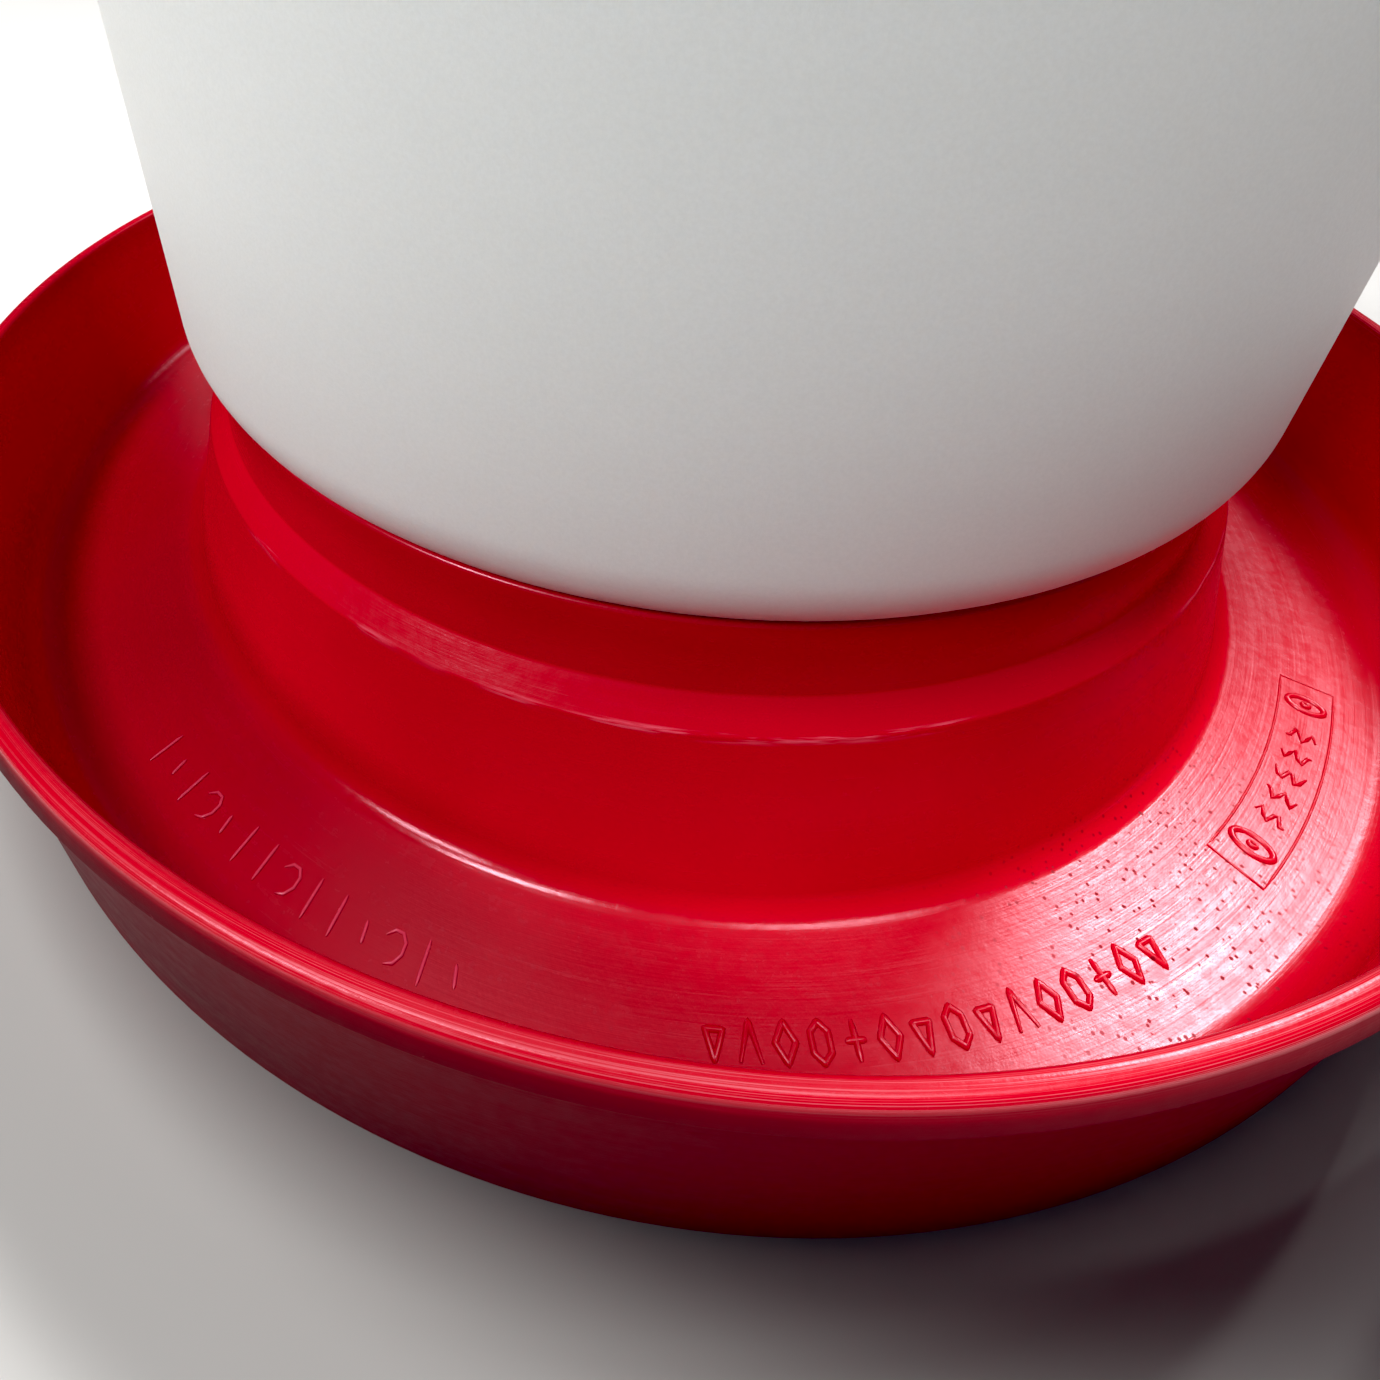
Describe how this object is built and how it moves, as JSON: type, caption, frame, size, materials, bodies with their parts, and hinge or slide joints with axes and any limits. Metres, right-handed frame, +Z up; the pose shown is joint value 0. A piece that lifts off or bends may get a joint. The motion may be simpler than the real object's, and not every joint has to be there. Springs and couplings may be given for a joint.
{
  "type": "poultry waterer fount",
  "caption": "Vacuum drinker for poultry: a round trough pan, a tall translucent tank twisted into its collar, a screw filling cap, a wire carrying bail and a rubber outlet stopper.",
  "frame": {"origin": "centre of the pan's underside, on the ground", "axes": "+Z up along the tank's axis, -Y the front, +X to the right"},
  "size_m": [0.38, 0.38, 0.4501],
  "materials": {
    "pan_red": "satin gloss red polyethylene with fine turning marks and scuffs",
    "tank_milk": "natural translucent polyethylene, matt with a fine grain",
    "cap_red": "satin gloss red polyethylene",
    "seal_rubber": "matt black rubber",
    "wire_steel": "zinc plated drawn wire",
    "grip_black": "matt black plastic, fine texture"
  },
  "bodies": {
    "pan": {"base_pan": "pan_red"},
    "tank_seal": {"tank_gasket": "seal_rubber"},
    "tank": {"tank": "tank_milk"},
    "cap_seal": {"cap_gasket": "seal_rubber"},
    "cap": {"fill_cap": "cap_red"},
    "bail": {"bail_wire": "wire_steel"},
    "grip": {"bail_grip": "grip_black"},
    "stopper": {"outlet_plug": "seal_rubber"}
  },
  "joints": [
    {"name": "tank_rise", "type": "slide", "parent": "pan", "child": "tank_seal", "axis": [0, 0, 1], "range_m": [0, 0.02]},
    {"name": "tank_twist", "type": "hinge", "parent": "tank_seal", "child": "tank", "pos_m": [0, 0, 0.05], "axis": [0, 0, 1], "range_deg": [0, 225]},
    {"name": "cap_rise", "type": "slide", "parent": "tank", "child": "cap_seal", "axis": [0, 0, 1], "range_m": [0, 0.021]},
    {"name": "cap_turn", "type": "hinge", "parent": "cap_seal", "child": "cap", "pos_m": [0, 0, 0.43], "axis": [0, 0, 1], "range_deg": [0, 630]},
    {"name": "bail_swing", "type": "hinge", "parent": "tank", "child": "bail", "pos_m": [0, 0, 0.36], "axis": [1, 0, 0], "range_deg": [0, 250.2]},
    {"name": "grip_spin", "type": "hinge", "parent": "bail", "child": "grip", "pos_m": [0, 0.1456, 0.25761], "axis": [1, 0, 0], "continuous": true},
    {"name": "plug_pull", "type": "slide", "parent": "pan", "child": "stopper", "axis": [0, 1, 0], "range_m": [0, 0.02]}
  ],
  "couplings": [
    {"joint": "tank_rise", "follows": "tank_twist", "m_per_rad": 0.0050929},
    {"joint": "cap_rise", "follows": "cap_turn", "m_per_rad": 0.0019098}
  ]
}
